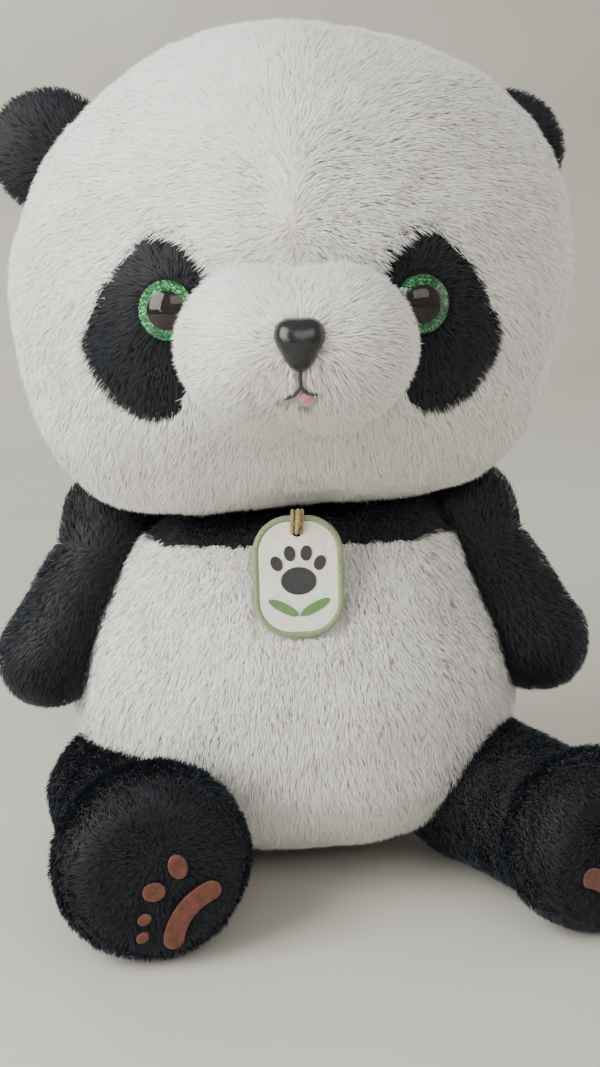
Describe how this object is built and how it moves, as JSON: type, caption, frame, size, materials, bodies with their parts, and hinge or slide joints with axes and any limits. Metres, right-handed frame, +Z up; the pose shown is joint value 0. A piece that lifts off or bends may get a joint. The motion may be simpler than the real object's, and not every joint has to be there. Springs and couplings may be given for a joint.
{
  "type": "plush panda",
  "caption": "Seated plush panda with a big head, glossy safety eyes, sewn limbs and a felt tag on a cord loop.",
  "frame": {"origin": "middle of the flat seat face that the toy sits on", "axes": "+Z up, the face looks along -Y, the toy's own left is at +X"},
  "size_m": [0.3589, 0.2975, 0.444],
  "materials": {
    "white_pile": "long soft white pile",
    "black_pile": "short dense blue-black pile",
    "filling": "loose fibre filling",
    "paw_felt": "satin-edged felt",
    "clear_dome": "clear polished plastic",
    "pupil_plastic": "gloss",
    "glitter": "metallic glitter film",
    "washer_plastic": "satin",
    "nose_plastic": "gloss",
    "thread_black": "embroidery thread",
    "tongue_felt": "felt",
    "tag_cloth": "cream felt",
    "tag_rim_thread": "satin stitch",
    "tag_print": "print",
    "tag_leaf_print": "print",
    "loop_cord": "twisted cord"
  },
  "bodies": {
    "torso": {"belly_panel": "white_pile", "back_panel": "white_pile", "seat_base_panel": "white_pile", "chest_yoke": "black_pile", "back_yoke": "black_pile", "torso_stuffing": "filling", "tail": "white_pile", "tag_loop": "loop_cord"},
    "neck": {"neck_stuffing": "filling"},
    "head": {"forehead_panel": "white_pile", "chin_panel": "white_pile", "cheek_left": "white_pile", "cheek_right": "white_pile", "head_back_left": "white_pile", "head_back_right": "white_pile", "muzzle_panel_left": "white_pile", "muzzle_panel_right": "white_pile", "eye_patch_left": "black_pile", "eye_patch_right": "black_pile", "head_stuffing": "filling", "muzzle_stuffing": "filling", "nose": "nose_plastic", "nose_washer": "washer_plastic", "mouth_stitching": "thread_black", "tongue": "tongue_felt", "eye_lens_left": "clear_dome", "eye_pupil_left": "pupil_plastic", "eye_glitter_disc_left": "glitter", "eye_washer_left": "washer_plastic", "eye_lens_right": "clear_dome", "eye_pupil_right": "pupil_plastic", "eye_glitter_disc_right": "glitter", "eye_washer_right": "washer_plastic"},
    "tag": {"tag_felt": "tag_cloth", "tag_rim": "tag_rim_thread", "tag_mark": "tag_print", "tag_leaves": "tag_leaf_print"},
    "left_ear": {"ear_front_left": "black_pile", "ear_back_left": "black_pile"},
    "left_arm": {"arm_outer_panel_left": "black_pile", "arm_inner_panel_left": "black_pile", "arm_stuffing_left": "filling"},
    "left_leg": {"leg_upper_panel_left": "black_pile", "leg_under_panel_left": "black_pile", "sole_panel_left": "black_pile", "leg_stuffing_left": "filling", "main_pad_left": "paw_felt", "toe_pads_left": "paw_felt"},
    "right_ear": {"ear_front_right": "black_pile", "ear_back_right": "black_pile"},
    "right_arm": {"arm_outer_panel_right": "black_pile", "arm_inner_panel_right": "black_pile", "arm_stuffing_right": "filling"},
    "right_leg": {"leg_upper_panel_right": "black_pile", "leg_under_panel_right": "black_pile", "sole_panel_right": "black_pile", "leg_stuffing_right": "filling", "main_pad_right": "paw_felt", "toe_pads_right": "paw_felt"}
  },
  "joints": [
    {"name": "head_turn", "type": "hinge", "parent": "torso", "child": "neck", "pos_m": [0, -0.024, 0.186], "axis": [0, 0, 1], "range_deg": [-25, 25], "stiffness_Nm_per_rad": 0.15},
    {"name": "head_nod", "type": "hinge", "parent": "neck", "child": "head", "pos_m": [0, -0.024, 0.322], "axis": [1, 0, 0], "range_deg": [-10, 8], "stiffness_Nm_per_rad": 1.5},
    {"name": "left_ear_fold", "type": "hinge", "parent": "head", "child": "left_ear", "pos_m": [0.11977, 0.002, 0.39584], "axis": [0.6489, 0, -0.7609], "range_deg": [-22, 22], "stiffness_Nm_per_rad": 0.02},
    {"name": "left_arm_raise", "type": "hinge", "parent": "torso", "child": "left_arm", "pos_m": [0.098, -0.022, 0.19], "axis": [0, -1, 0], "range_deg": [0, 50]},
    {"name": "right_ear_fold", "type": "hinge", "parent": "head", "child": "right_ear", "pos_m": [-0.11977, 0.002, 0.39584], "axis": [0.6489, 0, 0.7609], "range_deg": [-22, 22], "stiffness_Nm_per_rad": 0.02},
    {"name": "right_arm_raise", "type": "hinge", "parent": "torso", "child": "right_arm", "pos_m": [-0.098, -0.022, 0.19], "axis": [0, 1, 0], "range_deg": [0, 50]},
    {"name": "right_leg_spread", "type": "hinge", "parent": "torso", "child": "right_leg", "pos_m": [-0.098, -0.05, 0.046], "axis": [0, 0, -1], "range_deg": [0, 45]},
    {"name": "left_leg_spread", "type": "hinge", "parent": "torso", "child": "left_leg", "pos_m": [0.098, -0.05, 0.046], "axis": [0, 0, 1], "range_deg": [-30, 16]},
    {"name": "tag_swing", "type": "hinge", "parent": "torso", "child": "tag", "pos_m": [0, -0.1035, 0.207], "axis": [-1, 0, 0], "range_deg": [0, 45]}
  ]
}
